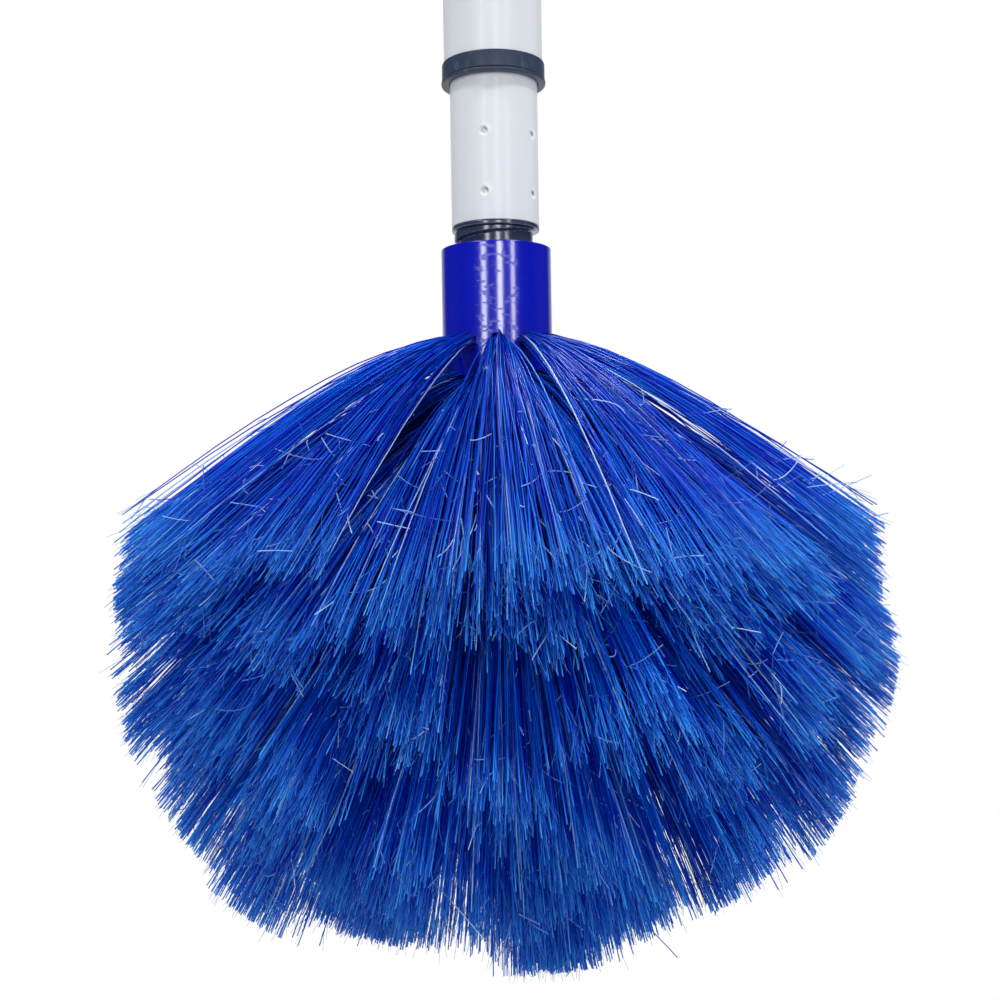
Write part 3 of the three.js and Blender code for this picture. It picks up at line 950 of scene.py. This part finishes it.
class Growth(Bench):
    def __init__(self, name, defaults):
        super().__init__(bpy.data.node_groups.new(name, "GeometryNodeTree"))
        self.given = self.asks({**defaults, "Seed": 1, "Finish": None})

    def chance(self, index, salt, low=0.0, high=1.0):
        values = {2: low, 3: high, "ID": index, "Seed": self.given["Seed"] + salt}
        return self.add("FunctionNodeRandomValue", {"data_type": "FLOAT"}, values, 1)

    def chanceVector(self, index, salt):
        values = {0: (-1.0, -1.0, -1.0), 1: (1.0, 1.0, 1.0), "ID": index, "Seed": self.given["Seed"] + salt}
        return self.add("FunctionNodeRandomValue", {"data_type": "FLOAT_VECTOR"}, values, 0)

    def disc(self, index, salt):  # a place on a disc, a little crowded in the middle
        spoke = self.chance(index, salt) ** 0.6
        clock = self.chance(index, salt + 100, 0.0, fullTurn)
        return self.xyz(spoke * clock.do("COSINE"), spoke * clock.do("SINE"))

    def outward(self, radial, latitude):  # a direction, and the one at right angles below it
        sine, cosine = latitude.do("SINE"), latitude.do("COSINE")
        out = radial * cosine + self.xyz(z=sine * -1.0)
        below = radial * (sine * -1.0) + self.xyz(z=cosine * -1.0)
        return out, below

    def stored(self, geometry, name, value, kind="FLOAT", domain="POINT"):
        return self.add("GeometryNodeStoreNamedAttribute", {"data_type": kind, "domain": domain},
                        {"Geometry": geometry, "Name": name, "Value": value})

    def named(self, name):
        return self.add("GeometryNodeInputNamedAttribute", {"data_type": "FLOAT"}, {"Name": name})

    def rods(self, count, segments, place, thickness, share):
        line = self.add("GeometryNodeCurvePrimitiveLine")
        stepped = self.add("GeometryNodeResampleCurve", {}, {"Curve": line, "Count": segments + 1})
        values = {"Geometry": stepped, "Amount": count}
        many = self.add("GeometryNodeDuplicateElements", {"domain": "SPLINE"}, values)
        index = many.other("Duplicate Index")
        along = self.add("GeometryNodeSplineParameter")
        laid = self.add("GeometryNodeSetPosition", {}, {"Geometry": many, "Position": place(index, along)})
        laid = self.stored(laid, "tone", self.chance(index, 21))
        laid = self.stored(laid, "share", share(along))
        section = self.add("GeometryNodeCurvePrimitiveCircle", {}, {"Resolution": 3, "Radius": 1.0})
        section = self.stored(section, "around", self.add("GeometryNodeSplineParameter"))
        values = {"Curve": laid, "Profile Curve": section, "Scale": thickness(along), "Fill Caps": True}
        return self.add("GeometryNodeCurveToMesh", {}, values)

    def end(self, *meshes):
        made = self.add("GeometryNodeJoinGeometry", {}, {0: list(meshes)})
        strip = self.xyz(self.named("tone") * 0.92 + self.named("around") * 0.05 + 0.01,
                         self.named("share") * 0.8 + 0.02)
        made = self.stored(made, "OFBake", strip, "FLOAT2", "CORNER")
        made = self.add("GeometryNodeRemoveAttribute", {}, {"Geometry": made, "Name": "around"})
        made = self.add("GeometryNodeSetShadeSmooth", {}, {"Geometry": made})
        made = self.add("GeometryNodeRealizeInstances", {}, {"Geometry": made})
        made = self.add("GeometryNodeSetMaterial", {}, {"Geometry": made, "Material": self.given["Finish"]})
        self.add("NodeGroupOutput", {}, {0: made})
        return self


bristle = {
    "Filaments in a tuft": 100,
    "Steps": 10,
    "Hole radius": 2.1 * mm,
    "Root lift": 0.5 * mm,
    "Bury": 3 * mm,
    "Droop": math.radians(28),
    "Knee share": 0.25,
    "Length spread": 0.05,
    "Tuft spread": 0.075,
    "Tuft wander": 0.04,
    "Filament wander": 0.015,
    "Bunches": 7,
    "Bunching": 0.6,
    "Sway": 1.4 * mm,
    "Ripple": 1.2 * mm,
    "Filament radius": 0.21 * mm,
    "Whiskers": 2,
    "Whisker share": 0.06,
    "Whisker splay": 2 * mm,
    "Whisker radius": 0.075 * mm,
    "Strays in a tuft": 32,
    "Stray length": 8 * mm,
    "Stray radius": 0.13 * mm,
    "Ball height": mouth - 79 * mm,
    "Ball radius": 99 * mm,
    "Ball depth": 98 * mm,
    "Ball fullness": 0.07,
}
rowValues = {  # what differs from row to row
    "Tufts": 12,
    "Row turn": 0.0,
    "Height": 0.0,
    "Root radius": 0.0,
    "Root latitude": 0.0,
    "Tip latitude": 0.0,
    "Fan width": 0.1,
    "Fan height": 0.1,
    # how far along a filament the painted shade at its root reaches
    "Painted shade reach": 1.0,
}
# of each row: the latitude of its tips on the ball, how far a tuft fans sideways and up and down,
# its filaments, and how far along them the painted shade at the roots reaches
fans = [
    (0.5, 16, 3.5, 84, 0.65),
    (5.5, 14, 5, 98, 0.65),
    (11.5, 11.5, 6.5, 108, 1.9),
    (19, 10.5, 7.5, 116, 1.9),
    (28, 11, 8.5, 128, 1.9),
    (38, 12.5, 9, 136, 1.9),
    (50, 15.5, 10, 148, 1.9),
    (67, 30, 11, 290, 1.9),
    (90, 19, 19, 360, 1.9),
]


def bristleTree():
    tree = Growth("bristleRow", {**bristle, **rowValues})
    given, chance, chanceVector = tree.given, tree.chance, tree.chanceVector

    def filamentPoint(index, share):
        tuft = (index / given["Filaments in a tuft"]).do("FLOOR")
        azimuth = (tuft + given["Row turn"]) * fullTurn / given["Tufts"]
        radial = tree.xyz(azimuth.do("SINE"), azimuth.do("COSINE") * -1.0)
        side = tree.xyz(azimuth.do("COSINE"), azimuth.do("SINE"))

        # places in the tuft, across and down, gathered in a few bunches
        bunch = tuft * 50.0 + (chance(index, 8) * given["Bunches"]).do("FLOOR")
        own = tree.disc(index, 1)
        place = own * (1.0 - given["Bunching"]) + tree.disc(bunch, 9) * given["Bunching"]
        across, below = place.part("X"), place.part("Y")

        # the root in its hole
        down = tree.outward(radial, given["Root latitude"])[1]
        middle = radial * given["Root radius"] + tree.xyz(z=given["Height"])
        spot = side * own.part("X") + down * own.part("Y")
        root = middle + spot * given["Hole radius"] - down * given["Root lift"]

        # the tip, on the ball that all the tips lie on, which is fuller halfway down
        out, down = tree.outward(radial, given["Tip latitude"])
        lone = given["Filament wander"] * (1.0 + chance(index, 14) ** 4.0 * 6.0)
        stray = chanceVector(tuft, 3) * given["Tuft wander"] + chanceVector(index, 4) * lone
        toTip = out + side * across * given["Fan width"] + down * below * given["Fan height"] + stray
        reach = tree.xyz(given["Ball radius"], given["Ball radius"], given["Ball depth"])
        aim = toTip.do("NORMALIZE")
        steep = aim.part("Z") * aim.part("Z")
        swell = steep * (1.0 - steep) * 4.0 * given["Ball fullness"] + 1.0
        full = aim * reach * swell + tree.xyz(z=given["Ball height"])
        frayed = given["Length spread"] * chance(index, 5) ** 3.0
        short = 1.0 - frayed - given["Tuft spread"] * chance(tuft, 6)
        chord = (full - root) * short
        tip = root + chord

        # the bend, from the flatter way in which a filament leaves the stock
        level = chord * (1.0, 1.0, 0.0)
        slope = (chord.part("Z") * -1.0).do("ARCTAN2", level.length())
        leave = slope - given["Droop"] * slope.do("COSINE")
        heading = tree.outward(level.do("NORMALIZE"), leave)[0]
        knee = root + heading * (given["Knee share"] * chord.length())
        start = root - heading * given["Bury"]
        rest = 1.0 - share
        line = start * (rest * rest) + knee * (share * rest * 2.0) + tip * (share * share)

        # a lazy bow and a fine ripple
        bow = chanceVector(index, 7) * (given["Sway"] * (share * math.pi).do("SINE"))
        where = tree.xyz(index * 0.731, share * 4.0, tuft)
        wave = tree.add("ShaderNodeTexNoise", {}, {"Vector": where, "Scale": 1.0, "Detail": 1.0}, "Color")
        ripple = tree.maths("SUBTRACT", wave, (0.5, 0.5, 0.5)) * (given["Ripple"] * share)
        return line + bow + ripple

    def whiskerPoint(index, along):  # a split end, which leaves its filament near the tip
        parent = (index / given["Whiskers"]).do("FLOOR")
        start = 1.0 - given["Whisker share"] * chance(index, 11, 0.6, 1.4)
        share = start + (1.0 - start) * along * chance(index, 12, 0.5, 1.1)
        splay = chanceVector(index, 13) * (given["Whisker splay"] * along * along)
        return filamentPoint(parent, share) + splay

    def strayPoint(index, along):  # a torn fibre, caught across the filaments
        tuft = (index / given["Strays in a tuft"]).do("FLOOR")
        parent = (tuft + chance(index, 15)) * given["Filaments in a tuft"]
        length = given["Stray length"] * chance(index, 16, 0.3, 1.0)
        curl = chanceVector(index, 18) * (along * along * chance(index, 19) ** 2.0 * 1.3)
        share = chance(index, 20, 0.6, 0.98)
        start = filamentPoint(parent.do("FLOOR"), share)
        onward = filamentPoint(parent.do("FLOOR"), share + 0.02) - start
        way = onward.do("NORMALIZE") * 1.1 + chanceVector(index, 17)
        return start + (way.do("NORMALIZE") * along + curl) * length

    filaments = given["Tufts"] * given["Filaments in a tuft"]
    thick, thin, stray = given["Filament radius"], given["Whisker radius"], given["Stray radius"]
    return tree.end(
        # the share also sets how far the painted shade at the roots reaches
        tree.rods(filaments, given["Steps"], filamentPoint, lambda along: thick * (1.0 - along * 0.25),
                  lambda along: along ** given["Painted shade reach"] * 0.96),
        tree.rods(filaments * given["Whiskers"], 2, whiskerPoint, lambda along: thin * (1.0 - along * 0.5),
                  lambda along: 0.93 + along * 0.11),
        tree.rods(given["Tufts"] * given["Strays in a tuft"], 5, strayPoint, lambda along: stray,
                  lambda along: 1.15),
    )


def makeBristles():
    tree = bristleTree()
    nodes = ["tufts_upper", "tufts_middle", "tufts_lower", "tufts_end"]
    for i, (row, fan) in enumerate(zip(tuftRows(), fans)):
        height, count, turn = row
        latitude, sideways, upright = [math.radians(angle) for angle in fan[:3]]
        filaments, paintedShadeReach = fan[3:]
        sine = min(1, max(0, (stock["dome"] - height) / stockRadius))
        width = math.sin(sideways) * (math.cos(latitude) if count > 1 else 1)
        values = {
            **bristle,
            "Filaments in a tuft": filaments,
            "Tufts": count,
            "Row turn": float(turn),
            "Height": mouth + height,
            "Root radius": stockRadius * math.sqrt(1 - sine * sine),
            "Root latitude": math.asin(sine),
            "Tip latitude": latitude,
            "Fan width": width,
            "Fan height": math.sin(upright),
            "Painted shade reach": paintedShadeReach,
            "Seed": 7 + 40 * i,
            "Finish": finishes["blue_bristle"],
        }
        made = grown(f"bristleRow{i + 1}", tree, values)
        handIn(made, "head", "blue_bristle", nodes[min(i // 2, 3)], sharp=0)


makeBristles()


# Camera, floor and light

view = {
    "distance": 344 * mm,
    "drop": 66.5 * mm,
    "focal": 1355,  # this and the next two in pixels
    "width": 1000,
    "horizon": 512,
    "roll": math.radians(-0.91),
    "sensor": 36,
    "nearest": 10 * mm,
}


def makeCamera():
    data = bpy.data.cameras.new("camera")
    data.sensor_width = view["sensor"]
    data.lens = data.sensor_width * view["focal"] / view["width"]
    camera = newObject("camera", data)
    tilt = math.atan((view["horizon"] - view["width"] / 2) / view["focal"])
    camera.matrix_world = (
        Matrix.Translation((0, -view["distance"], mouth - view["drop"]))
        @ Matrix.Rotation(math.radians(90) + tilt, 4, "X")
        @ Matrix.Rotation(view["roll"], 4, "Z")
    )
    data.clip_start = view["nearest"]
    scene.camera = camera


floor = {
    "gap": 0.62,
    "size": 12,
    "grey": 0.82,
    "clear": (0.2, 0.8),  # between these distances from the pole it turns white
}


def makeFloor():
    mesh = bmesh.new()
    bmesh.ops.create_grid(mesh, x_segments=2, y_segments=2, size=floor["size"])
    made = meshed("floor", mesh)
    made.location.z = cadLow.z - floor["gap"]
    grey = (floor["grey"], floor["grey"], floor["grey"], 1)
    look = Finish("paleFloor", Base_Color=grey, Roughness=0.9, Specular_IOR_Level=0.0)
    away = (look.place * (1.0, 1.0, 0.0)).length()
    path = look.add("ShaderNodeLightPath", {}, {}, "Is Camera Ray")
    seen = path.do("MAXIMUM", path.other("Is Glossy Ray")).do("MAXIMUM", path.other("Is Transmission Ray"))
    white = look.add("ShaderNodeEmission", {}, {"Color": (1, 1, 1, 1), "Strength": 1.0})
    shader = Wire(look, look.shader.outputs[0])
    clear = seen * look.band(away, *floor["clear"])
    mixed = look.add("ShaderNodeMixShader", {}, {0: clear, 1: shader, 2: white})
    look.tree.links.new(mixed.socket, look.tree.nodes["Material Output"].inputs["Surface"])
    made.data.materials.append(look.material)


lamps = [  # name, turn from the camera's side, rise, distance, width, height, power, seen in gloss
    ("stripLeft", -26, 11, 1.3, 0.22, 0.45, 2.4, True),
    ("stripMiddle", 7, 11, 1.3, 0.22, 0.45, 2.8, True),
    ("stripRight", 34, 11, 1.3, 0.16, 0.45, 1.6, True),
    ("keyRight", 50, 55, 1.3, 0.4, 0.4, 22.5, True),
    ("keyLeft", -55, 55, 1.3, 0.4, 0.4, 18.0, True),
    ("stripBack", 180, 11, 1.3, 0.22, 0.45, 2.8, True),
    ("keyBack", 165, 55, 1.3, 0.4, 0.4, 20.0, True),
    ("fillLeft", -110, 10, 1.4, 0.8, 1.2, 4.0, False),
    ("fillRight", 110, 10, 1.4, 0.8, 1.2, 4.8, False),
]
room = {
    "ambient": 0.2,  # light on dull surfaces
    "dark": 0.02,  # the unlit room that gloss shows
    "backdrop": (0.7, 1.0),  # where, behind the duster, that room turns white
    "aimDrop": 20 * mm,  # the lamps face a place so far below the socket's mouth
}


def makeLight():
    aim = Vector((0, 0, mouth - room["aimDrop"]))
    for name, turn, rise, distance, width, height, power, glossy in lamps:
        lamp = bpy.data.lights.new(name, "AREA")
        lamp.shape = "RECTANGLE"
        lamp.size = width
        lamp.size_y = height
        lamp.energy = power
        made = newObject(name, lamp)
        turn, rise = math.radians(turn), math.radians(rise)
        place = aim + Vector((math.sin(turn), -math.cos(turn), math.tan(rise))) * distance
        facing = (place - aim).to_track_quat("Z", "Y").to_matrix().to_4x4()
        made.matrix_world = Matrix.Translation(place) @ facing
        made.visible_camera = False
        made.visible_glossy = glossy
    world = bpy.data.worlds.new("studio")
    world.use_nodes = True
    scene.world = world
    bench = Bench(world.node_tree)
    path = bench.add("ShaderNodeLightPath", {}, {}, "Is Camera Ray")
    gloss = path.other("Is Glossy Ray").do("MAXIMUM", path.other("Is Transmission Ray"))
    heading = bench.add("ShaderNodeTexCoord", {}, {}, "Generated")
    low, high = room["backdrop"]
    values = {"Value": heading.part("Y"), "From Min": low, "From Max": high, "To Min": room["dark"]}
    backdrop = bench.add("ShaderNodeMapRange", {}, values)
    dull = 1.0 - path.do("MAXIMUM", gloss)
    strength = path + (1.0 - path) * gloss * backdrop + dull * room["ambient"]
    background = world.node_tree.nodes["Background"]
    background.inputs["Color"].default_value = (1, 1, 1, 1)
    bench.tree.links.new(strength.socket, background.inputs["Strength"])


makeCamera()
makeFloor()
makeLight()
print("lamps:", len(lamps))
scene.view_settings.view_transform = "Standard"
